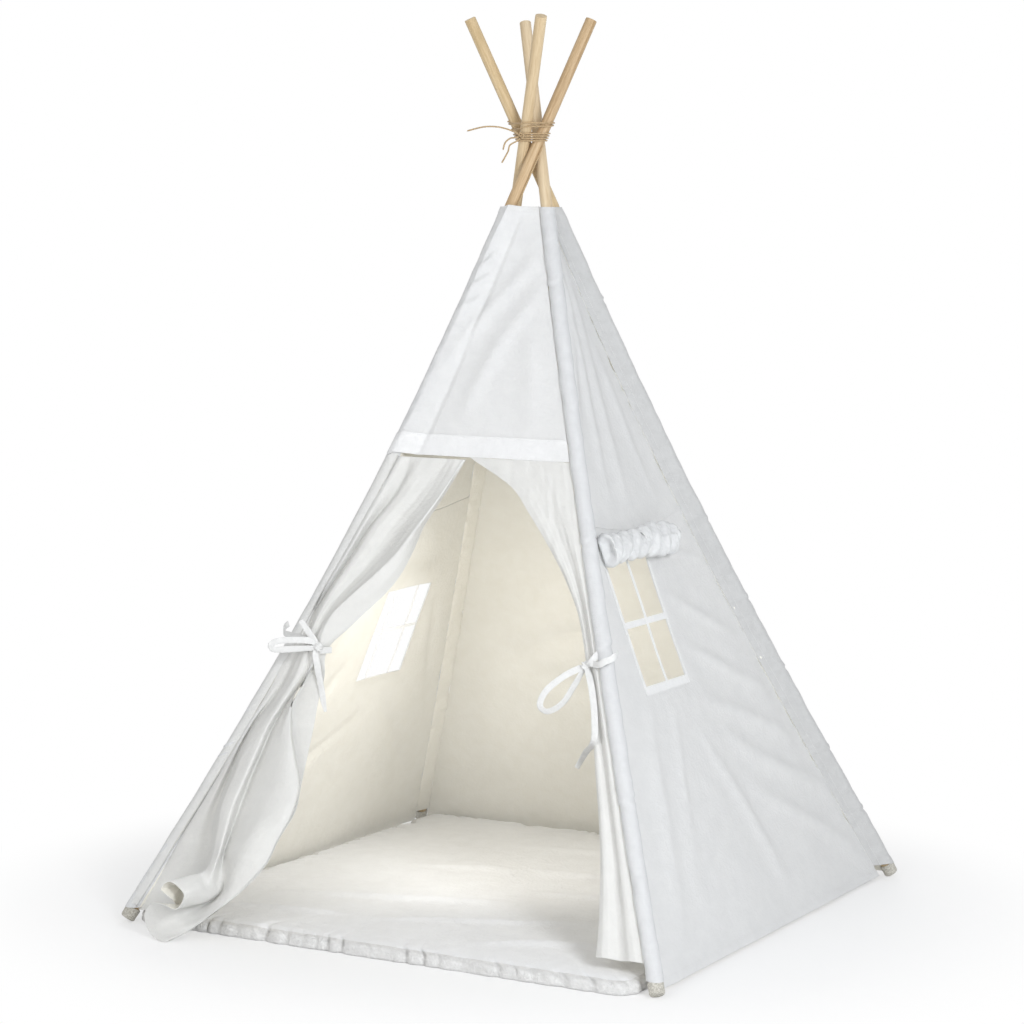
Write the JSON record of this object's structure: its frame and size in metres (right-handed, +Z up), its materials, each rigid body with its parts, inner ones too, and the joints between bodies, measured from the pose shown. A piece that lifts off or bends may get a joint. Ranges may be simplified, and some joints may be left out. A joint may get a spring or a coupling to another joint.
{
  "type": "kids teepee",
  "caption": "Play teepee for children: wooden poles lashed at the top, a cotton cover with tied-back door flaps and shaded windows, and a padded floor mat.",
  "frame": {"origin": "on the floor, under the crossing of the poles, at the middle of the mat's underside", "axes": "+Z up along the teepee's height, -Y out of the doorway, +X to the right seen from the front"},
  "size_m": [1.2454, 1.3531, 1.8441],
  "materials": {
    "pine": "natural, sanded",
    "ferrule_steel": "satin",
    "foot_felt": "dense felt",
    "white_canvas": "plain cotton canvas",
    "white_tape": "cotton tape",
    "mat_cotton": "padded cotton",
    "tan_cord": "twisted cord"
  },
  "bodies": {
    "mat": {"floor_mat": "mat_cotton"},
    "cover": {"front_upper_panel": "white_canvas", "door_header": "white_canvas", "right_upper_panel": "white_canvas", "left_upper_panel": "white_canvas", "right_lower_panel": "white_canvas", "left_lower_panel": "white_canvas", "back_panel": "white_canvas", "door_flap_left": "white_canvas", "door_flap_right": "white_canvas", "window_border_right": "white_tape", "window_tape_upright_right": "white_tape", "window_tape_level_right": "white_tape", "window_border_left": "white_tape", "window_tape_upright_left": "white_tape", "window_tape_upright_left_front": "white_tape", "window_tape_level_left": "white_tape", "flap_tie_left_outer": "white_tape", "flap_tie_left_inner": "white_tape", "flap_tie_right_outer": "white_tape", "flap_tie_right_inner": "white_tape", "lashing_rope": "tan_cord", "lashing_knot": "tan_cord", "lashing_end_long": "tan_cord", "lashing_end_short": "tan_cord", "lashing_end_curled": "tan_cord", "lashing_strand": "tan_cord"},
    "pole_front_left": {"pole_front_left_lower": "pine", "pole_front_left_middle": "pine", "pole_front_left_upper": "pine", "ferrule_front_left_lower": "ferrule_steel", "ferrule_front_left_upper": "ferrule_steel", "foot_cap_front_left": "foot_felt", "sleeve_front_left": "white_canvas"},
    "pole_front_right": {"pole_front_right_lower": "pine", "pole_front_right_middle": "pine", "pole_front_right_upper": "pine", "ferrule_front_right_lower": "ferrule_steel", "ferrule_front_right_upper": "ferrule_steel", "foot_cap_front_right": "foot_felt", "sleeve_front_right": "white_canvas"},
    "pole_back_right": {"pole_back_right_lower": "pine", "pole_back_right_middle": "pine", "pole_back_right_upper": "pine", "ferrule_back_right_lower": "ferrule_steel", "ferrule_back_right_upper": "ferrule_steel", "foot_cap_back_right": "foot_felt", "sleeve_back_right": "white_canvas"},
    "pole_back_left": {"pole_back_left_lower": "pine", "pole_back_left_middle": "pine", "pole_back_left_upper": "pine", "ferrule_back_left_lower": "ferrule_steel", "ferrule_back_left_upper": "ferrule_steel", "foot_cap_back_left": "foot_felt", "sleeve_back_left": "white_canvas"},
    "shade_right": {"window_shade_right": "white_canvas", "shade_strap_right": "white_tape"},
    "shade_left": {"window_shade_left": "white_canvas", "shade_strap_left": "white_tape"}
  },
  "joints": [
    {"name": "cover_lift", "type": "slide", "parent": "mat", "child": "cover", "axis": [0, 0, 1], "range_m": [0, 0.652], "deforming": ["front_upper_panel", "door_header", "right_upper_panel", "left_upper_panel", "right_lower_panel", "left_lower_panel", "back_panel", "door_flap_left", "door_flap_right", "window_border_right", "window_tape_upright_right", "window_tape_level_right", "window_border_left", "window_tape_upright_left", "window_tape_upright_left_front", "window_tape_level_left", "flap_tie_left_outer", "flap_tie_left_inner", "flap_tie_right_outer", "flap_tie_right_inner", "lashing_rope", "lashing_knot", "lashing_end_long", "lashing_end_short", "lashing_end_curled", "lashing_strand"]},
    {"name": "fold_front_left", "type": "hinge", "parent": "cover", "child": "pole_front_left", "pos_m": [0.01322, -0.01322, 1.567], "axis": [0.7071, -0.7071, 0], "range_deg": [0, 22], "deforming": ["sleeve_front_left"]},
    {"name": "fold_front_right", "type": "hinge", "parent": "cover", "child": "pole_front_right", "pos_m": [0.01322, 0.01322, 1.567], "axis": [0.7071, 0.7071, 0], "range_deg": [0, 22], "deforming": ["sleeve_front_right"]},
    {"name": "fold_back_right", "type": "hinge", "parent": "cover", "child": "pole_back_right", "pos_m": [-0.01322, 0.01322, 1.567], "axis": [-0.7071, 0.7071, 0], "range_deg": [0, 22], "deforming": ["sleeve_back_right"]},
    {"name": "fold_back_left", "type": "hinge", "parent": "cover", "child": "pole_back_left", "pos_m": [-0.01322, -0.01322, 1.567], "axis": [-0.7071, -0.7071, 0], "range_deg": [0, 22], "deforming": ["sleeve_back_left"]},
    {"name": "shade_right_drop", "type": "slide", "parent": "cover", "child": "shade_right", "axis": [0.3771, -0.0021, -0.9262], "range_m": [0, 0.255]},
    {"name": "shade_left_drop", "type": "slide", "parent": "cover", "child": "shade_left", "axis": [-0.3893, -0.002, -0.9211], "range_m": [0, 0.233]}
  ],
  "couplings": [
    {"joint": "fold_front_left", "follows": "cover_lift", "rad_per_m": 0.588},
    {"joint": "fold_front_right", "follows": "cover_lift", "rad_per_m": 0.588},
    {"joint": "fold_back_right", "follows": "cover_lift", "rad_per_m": 0.588},
    {"joint": "fold_back_left", "follows": "cover_lift", "rad_per_m": 0.588}
  ]
}
